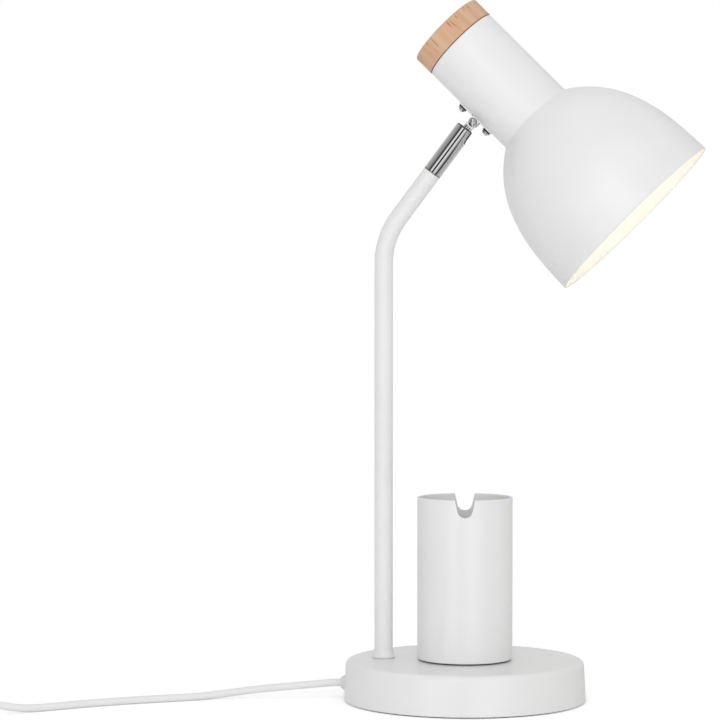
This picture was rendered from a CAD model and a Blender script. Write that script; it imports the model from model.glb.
# Desk lamp: a weighted round base with a pen cup, a bent tube, a slotted swivel sleeve,
# a spun shade with a beech end cap, and a mains cord with its switch and plug.
# Lengths in the outlines are millimetres and angles are degrees; the scene is in metres.
import math

import bpy
from mathutils import Matrix, Vector


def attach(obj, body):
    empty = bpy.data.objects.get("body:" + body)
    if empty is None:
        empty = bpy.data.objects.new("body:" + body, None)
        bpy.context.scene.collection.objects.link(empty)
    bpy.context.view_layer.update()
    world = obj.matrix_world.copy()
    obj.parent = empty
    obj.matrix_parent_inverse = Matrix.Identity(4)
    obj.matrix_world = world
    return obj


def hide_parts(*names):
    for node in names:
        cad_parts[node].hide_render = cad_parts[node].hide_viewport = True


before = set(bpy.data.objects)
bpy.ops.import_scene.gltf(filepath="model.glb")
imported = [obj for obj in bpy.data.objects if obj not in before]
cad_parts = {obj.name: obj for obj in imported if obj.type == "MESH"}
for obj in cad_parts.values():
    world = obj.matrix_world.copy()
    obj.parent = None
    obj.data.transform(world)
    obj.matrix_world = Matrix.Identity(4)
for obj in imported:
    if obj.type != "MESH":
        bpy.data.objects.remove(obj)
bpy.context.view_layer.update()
bpy.ops.object.select_all(action="DESELECT")

MM = 0.001
SAME_POINT = 1e-6


def cosd(angle):
    return math.cos(math.radians(angle))


def sind(angle):
    return math.sin(math.radians(angle))


def shift(x, y, z):
    return Matrix.Translation((x * MM, y * MM, z * MM))


def turn(angle, axis):
    return Matrix.Rotation(math.radians(angle), 4, axis)


# ---- where the lamp's parts sit; the corner is where the pole's two straight centre lines would meet
BASE_TOP = 27
POLE_X, CORNER_Z, LEAN_ANGLE = -54.5, 306, 37
BEND_R, BEND_Z, BEND_REACH = 50, 289.2702, 16.7298
LAMP = Matrix.Identity(4)
LEAN = shift(POLE_X, 0, CORNER_Z) @ turn(LEAN_ANGLE, "Y")
SLEEVE = LEAN @ shift(0, 0, 54.6)
NECK = LEAN @ shift(0, 0, 86.3) @ turn(12, "Y")
HEAD = NECK @ shift(0, 0, 10.5) @ turn(86, "Y") @ shift(-30.4, 0, -0.8)
LAY = turn(10, "Z")

# ---- camera, at the photograph's place
VIEW_TURN, VIEW_DOWN = 10, 1.84
ASIDE, AWAY, CAMERA_HEIGHT = -69.4, 1848, 0.2848
to_right = Vector((cosd(VIEW_TURN), sind(VIEW_TURN), 0))
to_camera = Vector((sind(VIEW_TURN), -cosd(VIEW_TURN), 0))
looking = -to_camera * cosd(VIEW_DOWN) + Vector((0, 0, -sind(VIEW_DOWN)))
lens = bpy.data.cameras.new("camera")
lens.lens, lens.sensor_width, lens.clip_end = 140, 36, 20
camera = bpy.data.objects.new("camera", lens)
bpy.context.collection.objects.link(camera)
camera.location = (ASIDE * to_right + AWAY * to_camera) * MM + Vector((0, 0, CAMERA_HEIGHT))
camera.rotation_euler = looking.to_track_quat("-Z", "Y").to_euler()
bpy.context.scene.camera = camera
bpy.context.scene.view_settings.view_transform = "Standard"


# ---- node building
def rgb(r, g, b):
    return (r, g, b, 1)


def put(tree, kind, inputs=None, **settings):
    """Adds a shader node; an input is given a value or another node's output."""
    node = tree.nodes.new("ShaderNode" + kind)
    for key, value in settings.items():
        setattr(node, key, value)
    for key, value in (inputs or {}).items():
        if isinstance(value, bpy.types.NodeSocket):
            tree.links.new(value, node.inputs[key])
        else:
            node.inputs[key].default_value = value
    return node


def noise(tree, point, scale, detail=2.0, rough=0.5):
    settings = {"Vector": point, "Scale": scale, "Detail": detail, "Roughness": rough}
    return put(tree, "TexNoise", settings).outputs["Fac"]


def span(tree, value, low, high, to_low=0.0, to_high=1.0):
    """Maps a value's range to another one, clamped."""
    settings = {"Value": value, "From Min": low, "From Max": high, "To Min": to_low, "To Max": to_high}
    return put(tree, "MapRange", settings).outputs["Result"]


def blend(tree, amount, first, second, way="MIX"):
    return put(tree, "Mix", {0: amount, 6: first, 7: second}, data_type="RGBA", blend_type=way).outputs[2]


def maths(tree, way, a, b):
    return put(tree, "Math", {0: a, 1: b}, operation=way).outputs[0]


def times(tree, a, b):
    return maths(tree, "MULTIPLY", a, b)


def plus(tree, a, b):
    return maths(tree, "ADD", a, b)


def height_of(tree, vector):
    return put(tree, "SeparateXYZ", {0: vector}).outputs["Z"]


def stretched(tree, point, scale):
    return put(tree, "Mapping", {"Vector": point, "Scale": scale}).outputs["Vector"]


def seen_by(tree, *kinds):
    """1 for a ray of any of the kinds, else 0."""
    rays = put(tree, "LightPath").outputs
    seen = rays[kinds[0]]
    for kind in kinds[1:]:
        seen = maths(tree, "MAXIMUM", seen, rays[kind])
    return seen


# ---- skins: each turns a point into a colour, a roughness and a height for the bumps
def skin_group(name, colours, numbers=()):
    """A skin's empty node group; returns its tree, what it is given and where its results go."""
    tree = bpy.data.node_groups.new(name, "ShaderNodeTree")
    inputs = [("Point", "Vector")] + [(label, "Color") for label in colours]
    for label, kind in inputs + [(label, "Float") for label in numbers]:
        tree.interface.new_socket(label, in_out="INPUT", socket_type="NodeSocket" + kind)
    for label, kind in (("Colour", "Color"), ("Roughness", "Float"), ("Height", "Float")):
        tree.interface.new_socket(label, in_out="OUTPUT", socket_type="NodeSocket" + kind)
    return tree, tree.nodes.new("NodeGroupInput").outputs, tree.nodes.new("NodeGroupOutput").inputs


def end_skin(tree, results, colour, roughness, height):
    tree.links.new(colour, results["Colour"])
    tree.links.new(roughness, results["Roughness"])
    tree.links.new(height, results["Height"])
    return tree


def make_paint_skin():
    """Sprayed powder coat: fine peel, faint clouding, and a little dulling where dust settles."""
    tree, given, results = skin_group("paint_skin", ["Colour"], ["Gloss Low", "Gloss High"])
    point, colour = given["Point"], given["Colour"]
    peel = noise(tree, point, scale=900.0, rough=0.45)
    cloud = noise(tree, point, scale=22.0, detail=3.0)
    specks = put(tree, "TexVoronoi", {"Vector": point, "Scale": 260.0}).outputs["Distance"]
    specks = span(tree, specks, 0.0, 0.06, 1.0, 0.0)
    darker = blend(tree, 1.0, colour, rgb(0.93, 0.93, 0.925), "MULTIPLY")
    clouded = blend(tree, span(tree, cloud, 0.35, 0.7, 0.0, 0.35), colour, darker)
    faces_up = span(tree, height_of(tree, put(tree, "NewGeometry").outputs["Normal"]), 0.6, 1.0)
    dust = times(tree, faces_up, span(tree, noise(tree, point, scale=300.0, detail=4.0), 0.55, 0.75))
    dullness = span(tree, cloud, 0.3, 0.7, given["Gloss Low"], given["Gloss High"])
    return end_skin(
        tree, results,
        colour=blend(tree, times(tree, specks, 0.25), clouded, darker),
        roughness=plus(tree, dullness, times(tree, dust, 0.12)),
        height=plus(tree, peel, times(tree, specks, 0.4)),
    )


def make_metal_skin():
    """Polished metal: fine lines, and smears of tarnish from handling."""
    tree, given, results = skin_group("metal_skin", ["Colour", "Tarnish"], ["Smear", "Gloss Low", "Gloss High"])
    lines = noise(tree, given["Point"], scale=900.0, detail=3.0, rough=0.6)
    smear = span(tree, noise(tree, given["Point"], scale=90.0, detail=3.0), 0.42, 0.7)
    stain = times(tree, smear, given["Smear"])
    dullness = plus(tree, times(tree, lines, 0.5), times(tree, stain, 0.9))
    return end_skin(
        tree, results,
        colour=blend(tree, stain, given["Colour"], given["Tarnish"]),
        roughness=span(tree, dullness, 0.15, 0.75, given["Gloss Low"], given["Gloss High"]),
        height=lines,
    )


def make_moulded_skin():
    """Moulded plastic, rubber and glass: a fine even grain and slight flow clouds."""
    tree, given, results = skin_group("moulded_skin", ["Colour", "Shade"], ["Grain", "Gloss Low", "Gloss High"])
    grain = noise(tree, given["Point"], scale=given["Grain"], rough=0.6)
    flow = noise(tree, given["Point"], scale=45.0, detail=3.0)
    return end_skin(
        tree, results,
        colour=blend(tree, span(tree, flow, 0.35, 0.75, 0.0, 0.5), given["Colour"], given["Shade"]),
        roughness=span(tree, plus(tree, grain, flow), 0.7, 1.3, given["Gloss Low"], given["Gloss High"]),
        height=grain,
    )


SEAM_FROM, SEAM_TO = -42.1, -41.7


def make_beech_grain():
    """Beech: soft growth bands, streaks along the grain, short dark rays, and a dark seam at the shade."""
    tree, given, results = skin_group("beech_grain", ["Pale", "Warm", "Fleck"])
    point = given["Point"]
    streaks = noise(tree, stretched(tree, point, (1.0, 1.0, 0.06)), scale=260.0, detail=4.0, rough=0.55)
    bands = noise(tree, stretched(tree, point, (1.0, 0.35, 0.05)), scale=85.0)
    rays = noise(tree, stretched(tree, point, (1.0, 1.0, 0.16)), scale=620.0, detail=1.0)
    rays = span(tree, rays, 0.61, 0.69)
    patches = span(tree, noise(tree, point, scale=60.0, detail=1.0), 0.42, 0.56)
    seam = span(tree, height_of(tree, point), SEAM_FROM * MM, SEAM_TO * MM, 0.0, 0.85)
    wood = blend(tree, span(tree, bands, 0.4, 0.68, 0.0, 0.75), given["Pale"], given["Warm"])
    wood = blend(tree, span(tree, streaks, 0.45, 0.75, 0.0, 0.6), wood, given["Warm"])
    wood = blend(tree, times(tree, times(tree, rays, patches), 0.85), wood, given["Fleck"])
    return end_skin(
        tree, results,
        colour=blend(tree, seam, wood, rgb(0.16, 0.08, 0.05)),
        roughness=span(tree, streaks, 0.3, 0.7, 0.42, 0.56),
        height=plus(tree, streaks, times(tree, rays, -0.6)),
    )


# ---- materials; the bumps' depths are millimetres
def material(name, skin, values, gloss=None, frame_at=None, squeeze=None, bump=0.02, bump_strength=0.4, **shader):
    """A Principled material whose colour, roughness and bump come from a skin.

    frame_at gives the pattern a part's own axes, and squeeze draws it out along one of them.
    """
    if gloss is not None:
        values = {**values, "Gloss Low": gloss[0], "Gloss High": gloss[1]}
    mat = bpy.data.materials.new(name)
    mat.use_nodes = True
    tree = mat.node_tree
    point = put(tree, "TexCoord").outputs["Object"]
    if frame_at is not None:
        settings = {"Vector": point, "Location": frame_at.to_translation(), "Rotation": frame_at.to_euler()}
        point = put(tree, "Mapping", settings, vector_type="TEXTURE").outputs["Vector"]
    if squeeze is not None:
        point = stretched(tree, point, squeeze)
    look = put(tree, "Group", {"Point": point, **values}, node_tree=skin).outputs
    bumps = put(tree, "Bump", {"Strength": bump_strength, "Distance": bump * MM, "Height": look["Height"]})
    surface = tree.nodes["Principled BSDF"].inputs
    tree.links.new(look["Colour"], surface["Base Color"])
    tree.links.new(look["Roughness"], surface["Roughness"])
    tree.links.new(bumps.outputs["Normal"], surface["Normal"])
    for key, value in shader.items():
        surface[key.replace("_", " ").title()].default_value = value
    return mat


paint_skin = make_paint_skin()
metal_skin = make_metal_skin()
moulded_skin = make_moulded_skin()
beech_grain = make_beech_grain()


def metal(name, colour, tarnish, gloss, smear=0.3, metallic=1.0, bump=0.01, **more):
    values = {"Colour": colour, "Tarnish": tarnish, "Smear": smear}
    return material(name, metal_skin, values, gloss, metallic=metallic, bump=bump, **more)


def moulded(name, colour, shade, gloss=(0.35, 0.5), grain=2500.0, **more):
    values = {"Colour": colour, "Shade": shade, "Grain": grain}
    return material(name, moulded_skin, values, gloss, **more)


white_paint = material(
    "white_paint", paint_skin, {"Colour": rgb(0.8, 0.8, 0.8)}, gloss=(0.3, 0.42),
    bump=0.01, bump_strength=0.2, coat_weight=0.4, coat_roughness=0.15,
)
beech = material(
    "beech", beech_grain,
    {"Pale": rgb(0.67, 0.43, 0.285), "Warm": rgb(0.56, 0.3, 0.16), "Fleck": rgb(0.34, 0.17, 0.085)},
    frame_at=HEAD, bump=0.06, bump_strength=0.35,
)
chrome = metal(
    "chrome", rgb(0.72, 0.72, 0.73), rgb(0.6, 0.6, 0.61), gloss=(0.03, 0.07),
    frame_at=LEAN, squeeze=(1.0, 1.0, 0.06), bump=0.001, bump_strength=0.2,
)
dark_steel = metal("dark_steel", rgb(0.06, 0.06, 0.062), rgb(0.03, 0.03, 0.03), gloss=(0.25, 0.45), metallic=0.9)
zinc_steel = metal(
    "zinc_steel", rgb(0.55, 0.56, 0.58), rgb(0.38, 0.38, 0.36), gloss=(0.28, 0.5), smear=0.5, bump=0.02,
)
brass = metal("brass", rgb(0.52, 0.45, 0.25), rgb(0.28, 0.23, 0.12), gloss=(0.15, 0.35), smear=0.5)
bulb_metal = metal("bulb_metal", rgb(0.6, 0.6, 0.61), rgb(0.42, 0.42, 0.42), gloss=(0.25, 0.4))
cast_weight = moulded(
    "cast_weight", rgb(0.05, 0.05, 0.053), rgb(0.09, 0.075, 0.065), gloss=(0.6, 0.85), grain=700.0,
    bump=0.3, bump_strength=0.7, metallic=0.6,
)
foam_pad = moulded(
    "foam_pad", rgb(0.13, 0.13, 0.13), rgb(0.1, 0.1, 0.1), gloss=(0.8, 0.95), grain=900.0,
    bump=0.3, bump_strength=0.8,
)
cord_white = moulded("cord_white", rgb(0.8, 0.8, 0.8), rgb(0.75, 0.75, 0.745), gloss=(0.38, 0.55), grain=1600.0)
white_plastic = moulded("white_plastic", rgb(0.74, 0.74, 0.74), rgb(0.7, 0.7, 0.695), gloss=(0.28, 0.45), bump=0.01)
seat_plastic = moulded("seat_plastic", rgb(0.69, 0.64, 0.52), rgb(0.62, 0.56, 0.43), gloss=(0.4, 0.6))
black_plastic = moulded("black_plastic", rgb(0.012, 0.012, 0.013), rgb(0.02, 0.02, 0.02), gloss=(0.4, 0.6))
holder_plastic = moulded("holder_plastic", rgb(0.8, 0.79, 0.75), rgb(0.74, 0.73, 0.69))
wire_brown = moulded("wire_brown", rgb(0.2, 0.07, 0.025), rgb(0.17, 0.06, 0.02), bump=0.01)
wire_blue = moulded("wire_blue", rgb(0.03, 0.12, 0.42), rgb(0.025, 0.1, 0.36), bump=0.01)
opal_glass = moulded(
    "opal_glass", rgb(0.86, 0.83, 0.76), rgb(0.84, 0.81, 0.74), gloss=(0.2, 0.3), bump=0.005, bump_strength=0.2,
    emission_color=rgb(1.0, 0.88, 0.64), emission_strength=3.1,
)


# ---- making of pieces
def deselect():
    if bpy.context.mode != "OBJECT":
        bpy.ops.object.mode_set(mode="OBJECT")
    bpy.ops.object.select_all(action="DESELECT")


def hold(piece):
    deselect()
    piece.select_set(True)
    bpy.context.view_layer.objects.active = piece


def place(piece, frame_at):
    """Moves a piece's mesh to its place on the lamp; the object stays at the origin."""
    hold(piece)
    piece.matrix_world = frame_at @ piece.matrix_world
    bpy.ops.object.transform_apply(location=True, rotation=True, scale=True)


def smooth(piece):
    hold(piece)
    bpy.ops.object.shade_smooth_by_angle(angle=math.radians(32))


def finish_with(piece, kind, name, **settings):
    """Adds a modifier and applies it."""
    hold(piece)
    step = piece.modifiers.new(name, kind)
    for key, value in settings.items():
        setattr(step, key, value)
    bpy.ops.object.modifier_apply(modifier=name)


def soften(piece, width, segments=2, sharp_from=40):
    """Rounds the edges where faces meet at more than an angle."""
    finish_with(piece, "BEVEL", "soft_edges", width=width * MM, segments=segments,
                limit_method="ANGLE", angle_limit=math.radians(sharp_from))
    smooth(piece)
    finish_with(piece, "WEIGHTED_NORMAL", "even_shading", keep_sharp=True)


def cut(piece, cutter):
    finish_with(piece, "BOOLEAN", "cut", object=cutter, operation="DIFFERENCE", solver="EXACT")
    bpy.data.objects.remove(cutter)


def weld():
    """Merges doubled points of the mesh in edit mode."""
    bpy.ops.mesh.select_all(action="SELECT")
    bpy.ops.mesh.remove_doubles(threshold=SAME_POINT)


def face_out():
    bpy.ops.mesh.select_all(action="SELECT")
    bpy.ops.mesh.normals_make_consistent(inside=False)


def drawn(name, outline):
    """Draws an outline of (across, up) points as a chain of edges in the XZ plane; stays in edit mode."""
    deselect()
    bpy.ops.mesh.primitive_plane_add(size=0.01)
    piece = bpy.context.object
    piece.name = piece.data.name = name
    bpy.ops.object.mode_set(mode="EDIT")
    bpy.ops.mesh.select_all(action="SELECT")
    bpy.ops.mesh.merge(type="CENTER")
    bpy.ops.transform.translate(value=(outline[0][0] * MM, 0, outline[0][1] * MM))
    for here, there in zip(outline, outline[1:]):
        move = ((there[0] - here[0]) * MM, 0, (there[1] - here[1]) * MM)
        bpy.ops.mesh.extrude_vertices_move(TRANSFORM_OT_translate={"value": move})
    return piece


def turned(name, outline, frame_at=LAMP, sides=192):
    """Turns a closed outline of (radius, height) points about the Z axis, as on a lathe."""
    piece = drawn(name, outline + outline[:1])
    weld()
    bpy.ops.mesh.spin(steps=sides, angle=2 * math.pi, center=(0, 0, 0), axis=(0, 0, 1), use_auto_merge=True)
    weld()
    face_out()
    place(piece, frame_at)
    smooth(piece)
    return piece


def bar(name, outline, length, frame_at):
    """Extrudes a closed outline of (x, z) points along Y."""
    piece = drawn(name, outline + outline[:1])
    weld()
    bpy.ops.mesh.edge_face_add()
    bpy.ops.mesh.extrude_region_move(TRANSFORM_OT_translate={"value": (0, length * MM, 0)})
    face_out()
    place(piece, frame_at)
    return piece


def dressed(node, edge, segments=2):
    """A copy of a CAD node with merged faces and softened edges."""
    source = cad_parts[node]
    piece = bpy.data.objects.new(node + "_made", source.data.copy())
    bpy.context.collection.objects.link(piece)
    piece.matrix_world = source.matrix_world
    place(piece, LAMP)
    bpy.ops.object.mode_set(mode="EDIT")
    weld()
    bpy.ops.mesh.dissolve_limited(angle_limit=math.radians(0.6))
    soften(piece, edge, segments, sharp_from=30)
    return piece


def wire(name, lines, radius, rounding=5):
    """Round strands along lines of points, one for each line, made into one mesh."""
    data = bpy.data.curves.new(name, "CURVE")
    data.dimensions = "3D"
    data.bevel_depth = radius * MM
    data.bevel_resolution = rounding
    data.use_fill_caps = True
    data.materials.append(None)
    data.materials.append(None)
    for number, line in enumerate(lines):
        strand = data.splines.new("POLY")
        strand.points.add(len(line) - 1)
        for point, p in zip(strand.points, line):
            point.co = (p[0] * MM, p[1] * MM, p[2] * MM, 1)
        strand.use_smooth = True
        strand.material_index = min(number, 1)
    piece = bpy.data.objects.new(name, data)
    bpy.context.collection.objects.link(piece)
    hold(piece)
    bpy.ops.object.convert(target="MESH")
    return bpy.context.object


def fit(piece, mats, slot, body, *nodes):
    """Gives a piece its material or materials and its slot, and the body it moves with."""
    mats = mats if isinstance(mats, list) else [mats]
    while len(piece.data.materials) > len(mats):
        piece.data.materials.pop()
    while len(piece.data.materials) < len(mats):
        piece.data.materials.append(None)
    for number, mat in enumerate(mats):
        piece.data.materials[number] = mat
    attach(piece, body)
    if nodes:
        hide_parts(*nodes)
    return piece


def dress(node, edge, mat, body="base", slot=None, segments=2):
    """Dresses a CAD node, its edges rounded by a width in millimetres.

    Where no slot is given it is the one named like the material, less the number Blender may add.
    """
    return fit(dressed(node, edge, segments), mat, slot or mat.name.partition(".")[0], body, node)


# ---- outlines and lines
def arc(cx, cz, r, start, end, steps):
    """Points of an arc about (cx, cz), angles from the +X direction."""
    angles = [start + (end - start) * i / steps for i in range(steps + 1)]
    return [(cx + r * cosd(angle), cz + r * sind(angle)) for angle in angles]


def bezier(ends, steps):
    """Points of a curve from the first of four points to the last, pulled towards the two between."""
    points = []
    for i in range(steps + 1):
        t = i / steps
        shares = ((1 - t) ** 3, 3 * t * (1 - t) ** 2, 3 * t * t * (1 - t), t**3)
        points.append((sum(s * e[0] for s, e in zip(shares, ends)), sum(s * e[1] for s, e in zip(shares, ends))))
    return points


def faired(points, step):
    """A smooth line through the points, with a point about every step."""
    knots = [Vector(p) for p in points]
    gaps = [(b - a).length for a, b in zip(knots, knots[1:])]
    ways = [(b - a) / g for a, b, g in zip(knots, knots[1:], gaps)]
    tangents = [ways[0]]
    for i in range(1, len(knots) - 1):
        tangents.append((ways[i - 1] * gaps[i] + ways[i] * gaps[i - 1]) / (gaps[i - 1] + gaps[i]))
    tangents.append(ways[-1])
    line = [knots[0]]
    for i, gap in enumerate(gaps):
        count = max(1, round(gap / step))
        for k in range(1, count + 1):
            t = k / count
            line.append(knots[i] * (2 * t**3 - 3 * t**2 + 1) + tangents[i] * gap * (t**3 - 2 * t**2 + t)
                        + knots[i + 1] * (3 * t**2 - 2 * t**3) + tangents[i + 1] * gap * (t**3 - t**2))
    return line


# ---- the free cord, from the bushing through the switch to the coil and the plug
CORD_R = 2.5
ROUTE = [
    (-83.4, 0, 9.5), (-86.5, 0, 9.5), (-94, -1.5, 9), (-102, -3.8, 8.4), (-110, -6.2, 7.8), (-118, -8.7, 7.2),
    (-130, -12, 6.3), (-141, -15.5, 5.3), (-149, -18.8, 4.5), (-157, -22.6, 3.7), (-165, -27, 3),
    (-173, -32, 2.6), (-186, -40, 2.5), (-200, -48, 2.5), (-213, -56, 2.5), (-226, -65, 2.5),
    (-239, -75, 2.5), (-250, -84.4, 2.5), (-260, -93.4, 2.5), (-268.5, -100.7, 2.8),
    (-276.3, -106.6, 3.8), (-283, -110.2, 5.3), (-290.2, -113, 7),
]
SWITCH_NEAR, SWITCH_FAR, SWITCH_Y, SWITCH_AXIS = -319, -377, -61.5, 8
SWITCH_HALF, COIL_GAP, STRAIGHT = 11, 1.5, 5
COIL_IN, COIL_PITCH, COIL_TURNS = 20.5, 5.6, 6
LEAD_IN, LEAD_LEVEL, LEAD_DROP = 21, 7.5, 0.8
COIL_OUT = COIL_IN + COIL_PITCH * COIL_TURNS / 2
COIL_X = SWITCH_FAR - STRAIGHT - LEAD_IN + COIL_OUT
COIL_Y = SWITCH_Y + SWITCH_HALF + COIL_GAP + COIL_OUT + CORD_R
COIL_START = COIL_X - COIL_OUT
COIL_LOW, PLUG_Y, PLUG_AXIS = 3.4, COIL_Y + 30, 7
CLIMB, STEP = 180, 15  # the angle over which the coil climbs, and the angle between its points


def laid(points):
    return [tuple(LAY @ Vector(p)) for p in points]


def coil_point(t):
    """A point of the coil, which winds in on the floor, climbs one cord and winds out on top."""
    half = 180 * COIL_TURNS
    r = COIL_IN + COIL_PITCH * abs(half - t) / 360
    climbed = min(1, max(0, (t - half + CLIMB / 2) / CLIMB))
    return (COIL_X + r * cosd(180 - t), COIL_Y + r * sind(180 - t), COIL_LOW + COIL_PITCH * climbed)


def lead_in(a):
    """A point of the quarter turn from the switch down to the coil, which it doesn't quite reach."""
    down = (a - LEAD_LEVEL) / (90 - LEAD_LEVEL) * LEAD_DROP
    return (SWITCH_FAR - STRAIGHT - LEAD_IN * sind(a), SWITCH_Y + LEAD_IN * (1 - cosd(a)),
            SWITCH_AXIS + (COIL_LOW - SWITCH_AXIS) * down)


cord_points = ROUTE + laid(
    [(x, SWITCH_Y, SWITCH_AXIS) for x in (SWITCH_NEAR + 6, SWITCH_NEAR, SWITCH_FAR, SWITCH_FAR - STRAIGHT)]
    + [lead_in(a) for a in range(STEP, 91, STEP)]
    + [(COIL_START, COIL_Y - 8, COIL_LOW)]
    + [coil_point(t) for t in range(0, 360 * COIL_TURNS + 1, STEP)]
    + [(COIL_START, COIL_Y + 12, COIL_LOW + COIL_PITCH - 0.9), (COIL_START, COIL_Y + 21, PLUG_AXIS + 0.3),
       (COIL_START, PLUG_Y - 5, PLUG_AXIS), (COIL_START, PLUG_Y, PLUG_AXIS)])
cord_line = faired(cord_points, 3.0)
cord = fit(wire("mains_cord", [cord_line], CORD_R), cord_white, "cord_white", "base", "cord_lead", "cord_coil")

# ---- base: a cover of even wall, whose side leans out to its foot
EDGE_R, EDGE_Z, EDGE_ROUND, SIDE_LEAN = 75.4, 23.5, 3.5, 2.774
FLAT_R, COVER_WALL, FOOT_Z, FOOT_ROUND, SIDE_TOP = 74.6, 1.2, 0.8, 0.45, 22.7
side_step = math.tan(math.radians(SIDE_LEAN))
foot_r = EDGE_R + EDGE_ROUND / cosd(SIDE_LEAN) + (EDGE_Z - FOOT_Z) * side_step
side_top_r = foot_r - (SIDE_TOP - FOOT_Z) * side_step
cover_outline = [(0, BASE_TOP), (36, BASE_TOP), (FLAT_R, BASE_TOP)]
cover_outline += arc(EDGE_R, EDGE_Z, EDGE_ROUND, 90, SIDE_LEAN, 12)
cover_outline += [(side_top_r, SIDE_TOP), (foot_r - 1.2 * side_step, FOOT_Z + 1.2)]
cover_outline += arc(foot_r - FOOT_ROUND, FOOT_Z + FOOT_ROUND, FOOT_ROUND, 0, -90, 4)
cover_outline += [(foot_r - COVER_WALL, FOOT_Z), (foot_r - COVER_WALL, FOOT_Z + 0.6)]
cover_outline += [(side_top_r - COVER_WALL, SIDE_TOP)]
cover_outline += arc(EDGE_R, EDGE_Z, EDGE_ROUND - COVER_WALL, SIDE_LEAN, 90, 8)
cover_outline += [(FLAT_R, BASE_TOP - COVER_WALL), (0, BASE_TOP - COVER_WALL)]
fit(turned("base_shell", cover_outline), white_paint, "white_paint", "base", "base_cover")
dress("base_pad", 0.3, foam_pad)
dress("plate_screws", 0.1, zinc_steel)
dress("cord_bushing", 0.3, white_plastic)

# ---- pen cup; two rows of points near the notches' foot keep the wall's shading even
CUP_R, CUP_IN, CUP_FLOOR, NOTCH_ROWS, RIM_Z, RIM_ROUND = 31.5, 30, 29, (119, 121.5), 134.25, 0.75
cup_outline = [(0, CUP_FLOOR), (29.1, CUP_FLOOR), (29.3, 28), (29.6, 27.8)] + arc(30.5, 28.8, 1, -90, 0, 6)
cup_outline += [(CUP_R, 30.8)] + [(CUP_R, row) for row in NOTCH_ROWS] + [(CUP_R, 133.8)]
cup_outline += arc(CUP_R - RIM_ROUND, RIM_Z, RIM_ROUND, 0, 180, 8)
cup_outline += [(CUP_IN, 133.8)] + [(CUP_IN, row) for row in NOTCH_ROWS[::-1]] + [(CUP_IN, 32.6)]
cup_outline += arc(28.4, 32.1, 1.6, 0, -90, 6) + [(27.6, 30.5), (0, 30.5)]
cup = turned("cup_body", cup_outline)
NOTCH_R, NOTCH_LEAN, NOTCH_TOP, NOTCH_Z, NOTCH_TURN, NOTCH_LENGTH = 5, 13, 10.6, 128.4, 8, 73
notch_low = NOTCH_R * cosd(NOTCH_LEAN)
notch_high = notch_low + (NOTCH_TOP + NOTCH_R * sind(NOTCH_LEAN)) * math.tan(math.radians(NOTCH_LEAN))
notch_outline = [(notch_high, NOTCH_TOP)] + arc(0, 0, NOTCH_R, -NOTCH_LEAN, NOTCH_LEAN - 180, 16)
notch_outline += [(-notch_high, NOTCH_TOP)]
notch_frame = turn(NOTCH_TURN, "Z") @ shift(0, -NOTCH_LENGTH / 2, NOTCH_Z)
cut(cup, bar("notches", notch_outline, NOTCH_LENGTH, notch_frame))
soften(cup, 0.3, segments=3)
fit(cup, white_paint, "white_paint", "base", "pen_cup")
dress("cup_spacer", 0.2, black_plastic)
dress("cup_screw", 0.15, zinc_steel)

# ---- pole: a tube bent once, with its collar
POLE_R, POLE_WALL, POLE_END = 6.1, 1.1, 53.8
deselect()
bpy.ops.mesh.primitive_circle_add(vertices=64, radius=POLE_R * MM, location=(POLE_X * MM, 0, BASE_TOP * MM))
pole = bpy.context.object
pole.name = pole.data.name = "bent_pole"
bpy.ops.object.transform_apply(location=True)
bpy.ops.object.mode_set(mode="EDIT")
bpy.ops.mesh.select_all(action="SELECT")
bpy.ops.mesh.extrude_region_move(TRANSFORM_OT_translate={"value": (0, 0, (BEND_Z - BASE_TOP) * MM)})
bpy.ops.mesh.spin(steps=24, angle=-math.radians(LEAN_ANGLE), center=((POLE_X + BEND_R) * MM, 0, BEND_Z * MM),
                  axis=(0, 1, 0), use_auto_merge=False)
to_end = Vector((sind(LEAN_ANGLE), 0, cosd(LEAN_ANGLE))) * ((POLE_END - BEND_REACH) * MM)
bpy.ops.mesh.extrude_region_move(TRANSFORM_OT_translate={"value": to_end})
weld()
face_out()
finish_with(pole, "SOLIDIFY", "tube_wall", thickness=POLE_WALL * MM, offset=-1.0)
smooth(pole)
fit(pole, white_paint, "white_paint", "base", "pole")

collar_outline = [(6.12, 0), (6.8, 0)] + arc(6.8, 0.8, 0.8, -90, 66, 10)
collar_outline += [(7.0, 1.75), (6.62, 3.6), (6.4, 5.2), (6.3, 5.6), (6.12, 5.6)]
collar = turned("pole_foot", collar_outline, shift(POLE_X, 0, BASE_TOP), sides=96)
fit(collar, white_paint, "white_paint", "base", "pole_collar")

# ---- swivel joint: a chrome sleeve, dark inside, with a slot in its side for the neck
SLOT_R, SLOT_Z, SLOT_UP, SLOT_DEPTH, SLEEVE_INSIDE = 3.45, 30.15, 8, 9, 5.95
sleeve_outline = [
    (6.05, 0), (6.2, 0.05), (6.25, 0.2), (6.25, 1.0), (6.25, 34.6), (6.25, 35.2), (6.15, 35.5), (5.6, 36.05),
    (5.35, 36.15), (5.0, 36.2), (4.5, 36.15), (4.23, 35.9), (4.23, 33.84), (4.6, 32.9), (4.75, 31.7),
    (5.05, 31.5), (5.05, 13), (4.05, 13), (4.05, 11), (4.9, 11), (4.9, 0.2), (5.1, 0),
]
sleeve = turned("slotted_sleeve", sleeve_outline, sides=96)
slot_outline = [(SLOT_R, SLOT_UP)] + arc(0, 0, SLOT_R, 0, -180, 20) + [(-SLOT_R, SLOT_UP)]
cut(sleeve, bar("sleeve_slot", slot_outline, SLOT_DEPTH, shift(0, 0, SLOT_Z) @ turn(-90, "Z")))
place(sleeve, SLEEVE)
soften(sleeve, 0.15)
fit(sleeve, [chrome, dark_steel], "chrome", "swivel", "swivel_sleeve")
into_sleeve = SLEEVE.inverted()
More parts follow.
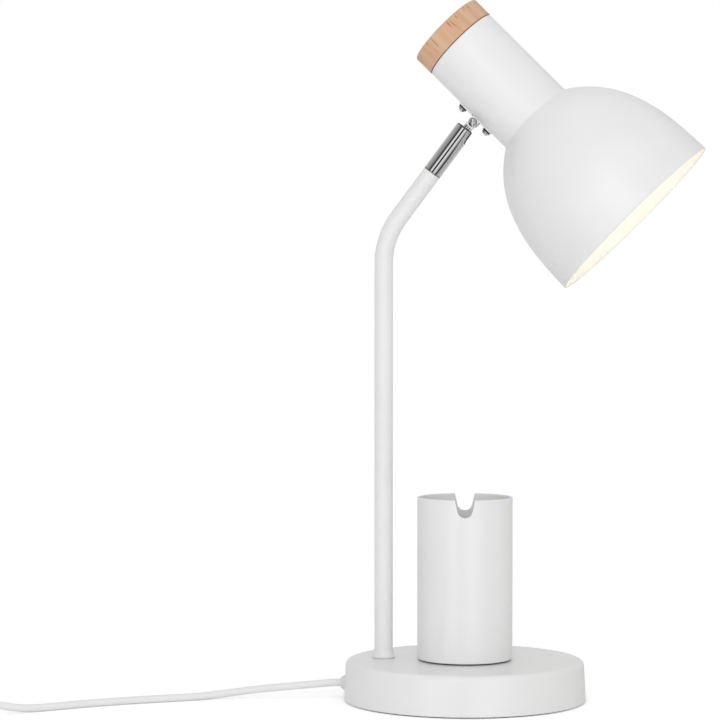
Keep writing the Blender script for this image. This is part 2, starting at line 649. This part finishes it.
for face in sleeve.data.polygons:
    if (into_sleeve @ face.center).xy.length < SLEEVE_INSIDE * MM:
        face.material_index = 1
dress("swivel_spigot", 0.12, brass)
dress("ball_neck", 0.3, chrome, "neck")

# ---- bracket and its screws
dress("bracket", 0.2, chrome, "head")
dress("bracket_screws", 0.15, chrome, "head")
dress("bracket_washers", 0.1, dark_steel, "head", slot="black_plastic")
dress("pivot_screw", 0.15, chrome, "head")
dress("pivot_washers", 0.08, seat_plastic, "head")
dress("pivot_nut", 0.2, chrome, "head")

# ---- shade: neck, shoulder, flank and skirt as one spun piece; each arc of the dome has
# ---- a radius and the steepness where it starts and where it ends
CREASE = (27.0, 28.4)
DOME_ARCS = [(72.0, 57.5, 22.0), (111.5, 22.0, 6.0), (317.0, 6.0, 0.8)]
DOME_STEPS = (22, 18, 12)
NECK_R, NECK_IN, SHADE_WALL, RIM_R, END_Z = 27, 26, 1, 0.5, -38.9
HOLE_R, HOLE_LENGTH, HOLE_Z = 4, 8, 0.8


def dome(inset, start_slope):
    """Points of the dome's arcs, moved in by a wall."""
    r, z = CREASE
    points = []
    for (radius, steep, flat), count in zip(DOME_ARCS, DOME_STEPS):
        cr = r - radius * cosd(steep)
        cz = z + radius * sind(steep)
        first = steep if points else start_slope
        for i in range(1 if points else 0, count + 1):
            slope = first + (flat - first) * i / count
            points.append((cr + (radius - inset) * cosd(slope), cz - (radius - inset) * sind(slope)))
        r = cr + radius * cosd(flat)
        z = cz - radius * sind(flat)
    return points


outer_dome = dome(0, 56.4)
inner_dome = dome(SHADE_WALL, 57.5)
rim_r, rim_z = outer_dome[-1]
shade_outline = [(NECK_R, -40.2), (NECK_R, 10), (NECK_R, 26.0)] + arc(29.5, 27.03, 2.5, 180, 132, 4)
shade_outline += outer_dome[:-1] + arc(rim_r - RIM_R, rim_z - RIM_R, RIM_R, 0, 180, 8)
shade_outline += inner_dome[:-1][::-1] + [(NECK_IN, 28.8), (NECK_IN, 10), (NECK_IN, END_Z)]
shade_outline += arc(25.0, END_Z, 1.0, 0, -90, 4) + [(5.2, -39.9), (5.2, -41.4)]
shade_outline += arc(26.4, -40.8, 0.6, -90, 0, 4)[:-1]
shade = turned("spun_shade", shade_outline)
deselect()
bpy.ops.mesh.primitive_cylinder_add(vertices=48, radius=HOLE_R * MM, depth=HOLE_LENGTH * MM,
                                    location=(NECK_R * MM, 0, HOLE_Z * MM), rotation=(0, math.pi / 2, 0))
cut(shade, bpy.context.object)
smooth(shade)
place(shade, HEAD)
smooth(shade)
fit(shade, white_paint, "white_paint", "head", "shade")

# ---- beech end cap
CAP_R, CAP_END, CAP_SEAT, HOLLOW_R, HOLLOW_END = 27.2, -55.55, -41.55, 11, -47.55
cap_outline = [(0, CAP_END), (20, CAP_END), (25.8, CAP_END)] + arc(26.4, -54.75, 0.8, -90, 0, 6)
cap_outline += [(CAP_R, -54), (CAP_R, -42.4), (27.1, -42.0), (26.8, -41.65), (26.4, CAP_SEAT)]
cap_outline += [(HOLLOW_R, CAP_SEAT), (HOLLOW_R, HOLLOW_END), (0, HOLLOW_END)]
fit(turned("beech_cap", cap_outline, HEAD, sides=160), beech, "beech", "head", "wood_cap")

# ---- lampholder and bulb
GLOBE_R, GLOBE_Z, GLASS_FOOT = 30, 60.6, 9.6
THREAD_R, THREAD_DEPTH, THREAD_FOOT, THREAD_STEP = 12.55, 0.6, -9.6, 0.363
dress("lampholder", 0.4, holder_plastic, "head")
glass_neck = bezier(((13.0, 13.6), (13.0, 24.0), (17.5, 34.25), (23.64, 42.13)), 8)
bulb_outline = [(0, GLASS_FOOT), (12.6, GLASS_FOOT), (13.0, 10.0)] + glass_neck
bulb_outline += arc(0, GLOBE_Z, GLOBE_R, -38, 90, 28)[1:-1] + [(0, GLOBE_Z + GLOBE_R)]
fit(turned("bulb_globe", bulb_outline, HEAD, sides=96), opal_glass, "bulb_glass", "head", "bulb_glass")
thread = [(THREAD_R + THREAD_DEPTH * cosd(36 * i), THREAD_FOOT + THREAD_STEP * i) for i in range(41)]
cap_shell = [(0, -12.4), (10.2, -12.4), (12.0, -10.8)] + thread + [(12.3, 6.2), (12.3, GLASS_FOOT), (0, GLASS_FOOT)]
fit(turned("bulb_thread", cap_shell, HEAD, sides=64), bulb_metal, "bulb_metal", "head", "bulb_cap")

# ---- wires inside the lamp: the inner lead, then a brown and a blue wire side by side
INNER = [
    (-83.4, 0, 9.5), (-72.8, 0, 9.5), (-69.8, 1, 9.5), (-67, 3.6, 9.5), (-64.8, 7.2, 9.5), (-61.4, 11, 9.5),
    (-56.6, 14.2, 9.5), (-50.5, 15.8, 9.5), (-45, 16, 9.5), (-39, 16, 9.5), (-32, 16, 9.5), (-26, 16, 9.5),
]
BLUE_WAY = [
    (-6, 13, 8), (-4.2, 11.6, 7.6), (-3.6, 9.4, 7.2), (-5, 7.2, 6.8), (-8.5, 6, 6.2), (-16, 5.2, 5),
    (-28, 3.6, 4.2),
]
BROWN_WAY = [
    (-5, 19, 8), (-1, 18, 7.8), (1.8, 15.2, 7.6), (2.6, 11.4, 7.2), (1, 7.6, 6.8), (-2.6, 4.8, 6.2), (-8, 3.2, 5.4),
    (-16, 1.8, 4.6), (-28, 0, 4.2),
]
INNER_R, POLE_WIRE_R, HEAD_WIRE_R, WIRE_TIP = 2.49, 0.9, 0.8, 67.8


def pole_strand(side, way):
    """A wire from the terminal block up the pole into the spigot."""
    start_y = 16 - 3 * side
    start = [(-13, start_y, 8.3), (-7.5, start_y, 8.3)] + way
    turn_up = [(-46.5, side, 4.2), (-52.3, side, 5.2), (-54.1, side, 8.7), (POLE_X, side, 12.4)]
    bend = [(POLE_X + BEND_R * (1 - cosd(a)), side, BEND_Z + BEND_R * sind(a)) for a in range(0, 38, 4)]
    end = (POLE_X + WIRE_TIP * sind(LEAN_ANGLE), side, CORNER_Z + WIRE_TIP * cosd(LEAN_ANGLE))
    return faired(start + turn_up + [(POLE_X, side, 229.3)] + bend + [end], 3.0)


def head_strand(side):
    """A lead from the neck's hole along the shade's wall to the lampholder."""
    way = [
        (26.6, side, 3), (25, side, 2.6), (23.6, 1.6 * side, -0.7), (22.8, 4.6 * side, -7),
        (22.6, 5.2 * side, -14), (22.6, 4.6 * side, -22), (21.6, 2 * side, -28.4), (18.6, side, -30.5),
        (14.6, side, -30.9), (7.5, side, -30.9),
    ]
    return [tuple(HEAD @ (Vector(p) * MM) / MM) for p in faired(way, 1.2)]


fit(wire("inner_cable", [faired(INNER, 2.5)], INNER_R), cord_white, "cord_white", "base", "inner_lead")
pole_pair = wire("pole_strands", [pole_strand(-1, BROWN_WAY), pole_strand(1, BLUE_WAY)], POLE_WIRE_R, rounding=3)
fit(pole_pair, [wire_brown, wire_blue], "wire_sleeve", "base", "pole_wires")
head_pair = wire("head_strands", [head_strand(-1), head_strand(1)], HEAD_WIRE_R, rounding=3)
fit(head_pair, [wire_brown, wire_blue], "wire_sleeve", "head", "head_leads")

# ---- switch, tie and plug on the cord
on_cord = [
    dress("switch_lower", 0.6, white_plastic, segments=3),
    dress("switch_upper", 0.6, white_plastic, segments=3),
    dress("switch_rocker", 0.4, white_plastic, "rocker", segments=3),
    dress("switch_contacts", 0.1, brass),
    dress("switch_screws", 0.1, zinc_steel),
    dress("coil_tie", 0.2, white_plastic),
    dress("plug_body", 0.8, white_plastic, segments=3),
    dress("plug_pins", 0.3, zinc_steel),
]

# ---- parts that stay as their solids are
KEPT = {
    "base_weight": cast_weight, "base_plate": zinc_steel, "pole_nipple": brass, "pole_washer": zinc_steel,
    "pole_nut": brass, "cord_clamp": zinc_steel, "clamp_screws": zinc_steel, "terminal_block": seat_plastic,
    "terminal_screws": brass, "cup_nut": zinc_steel, "swivel_washer": zinc_steel, "swivel_nut": brass,
    "disc_springs": zinc_steel, "ball_seat": seat_plastic, "bracket_nuts": zinc_steel, "cap_screws": zinc_steel,
    "holder_screw": brass, "holder_nut": brass, "holder_shell": brass, "holder_contact": brass,
    "bulb_contact": black_plastic,
}
for node, mat in KEPT.items():
    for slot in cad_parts[node].material_slots:
        slot.link = "OBJECT"
        slot.material = mat

# ---- floor: pale near the lamp, with a little light of its own, fading to plain white further out
FLOOR_LIFT, FADE_FROM, FADE_TO = 0.26, 0.28, 0.6
deselect()
bpy.ops.mesh.primitive_plane_add(size=6, location=(0, 0, 0))
floor = bpy.context.object
floor.visible_glossy = False
floor.name = floor.data.name = "floor"
floor_mat = bpy.data.materials.new("floor_white")
floor_mat.use_nodes = True
tree = floor_mat.node_tree
tree.nodes.clear()
seen = seen_by(tree, "Is Camera Ray", "Is Glossy Ray", "Is Transmission Ray")
pale = put(tree, "BsdfDiffuse", {"Color": rgb(0.93, 0.93, 0.93)})
lift = put(tree, "Emission", {"Color": rgb(1, 1, 1), "Strength": times(tree, seen, FLOOR_LIFT)})
near = put(tree, "AddShader", {0: pale.outputs[0], 1: lift.outputs[0]})
white = put(tree, "Emission", {"Color": rgb(1, 1, 1), "Strength": 1.0})
reach = put(tree, "VectorMath", {0: put(tree, "TexCoord").outputs["Object"]}, operation="LENGTH").outputs["Value"]
far = times(tree, seen, span(tree, reach, FADE_FROM, FADE_TO))
surface = put(tree, "MixShader", {0: far, 1: near.outputs[0], 2: white.outputs[0]})
put(tree, "OutputMaterial", {"Surface": surface.outputs[0]})
floor_mat.cycles.emission_sampling = "NONE"
floor.data.materials.append(floor_mat)


# ---- light: a large softbox in front and a weak one above
def softbox(name, where, aim, width, height, watts):
    data = bpy.data.lights.new(name, "AREA")
    data.shape = "RECTANGLE"
    data.size, data.size_y, data.energy = width, height, watts
    lamp = bpy.data.objects.new(name, data)
    bpy.context.collection.objects.link(lamp)
    lamp.location = where
    lamp.rotation_euler = (aim - where).to_track_quat("-Z", "Y").to_euler()
    lamp.visible_camera = lamp.visible_glossy = False


middle = Vector((0, 0, 0.22))
in_front = middle + 2.3 * to_camera - 0.12 * to_right + Vector((0, 0, 0.3))
softbox("front_softbox", in_front, middle, width=1.5, height=1.7, watts=25)
softbox("top_softbox", Vector((0.1, 0.1, 2.1)), middle, width=1.6, height=1.6, watts=5.2)

# ---- surroundings: white to the camera, soft light to the rest, and what the polished parts mirror,
# ---- bright and dark strips around the sleeve's axis, as (place round the axis, tone)
SOFT_LIGHT = 0.66
STRIPS = [
    (0.0, 0.8), (0.12, 0.7), (0.2, 0.5), (0.3, 0.4), (0.355, 0.05), (0.385, 0.05), (0.42, 1.0), (0.46, 1.0),
    (0.466, 0.0), (0.512, 0.0), (0.52, 1.0), (0.55, 1.0), (0.6, 0.45), (0.63, 0.04), (0.66, 0.04), (0.68, 0.5),
    (0.75, 0.6), (0.85, 0.7),
]
world = bpy.data.worlds.new("studio")
bpy.context.scene.world = world
world.use_nodes = True
tree = world.node_tree
tree.nodes.clear()
way = put(tree, "TexCoord").outputs["Generated"]
across = Vector((cosd(LEAN_ANGLE) * to_right.x, cosd(LEAN_ANGLE) * to_right.y, -sind(LEAN_ANGLE)))
ahead, aside = [
    put(tree, "VectorMath", {0: way, 1: tuple(axis)}, operation="DOT_PRODUCT").outputs["Value"]
    for axis in (to_camera, across)
]
bearing = span(tree, maths(tree, "ARCTAN2", aside, ahead), -math.pi, math.pi)
ramp = put(tree, "ValToRGB", {"Fac": bearing})
stops = ramp.color_ramp
stops.interpolation = "LINEAR"
while len(stops.elements) < len(STRIPS):
    stops.elements.new(0.5)
for stop, (position, tone) in zip(stops.elements, STRIPS):
    stop.position = position
for stop, (position, tone) in zip(stops.elements, STRIPS):
    stop.color = rgb(tone, tone, tone)
soft = put(tree, "Background", {"Color": rgb(1, 1, 1), "Strength": SOFT_LIGHT})
backdrop = put(tree, "Background", {"Color": rgb(1, 1, 1), "Strength": 1.0})
mirrored = put(tree, "Background", {"Color": ramp.outputs["Color"], "Strength": 1.0})
lit = put(tree, "MixShader", {0: seen_by(tree, "Is Glossy Ray"), 1: soft.outputs[0], 2: mirrored.outputs[0]})
plain = seen_by(tree, "Is Camera Ray", "Is Transmission Ray")
whole = put(tree, "MixShader", {0: plain, 1: lit.outputs[0], 2: backdrop.outputs[0]})
put(tree, "OutputWorld", {"Surface": whole.outputs[0]})

deselect()
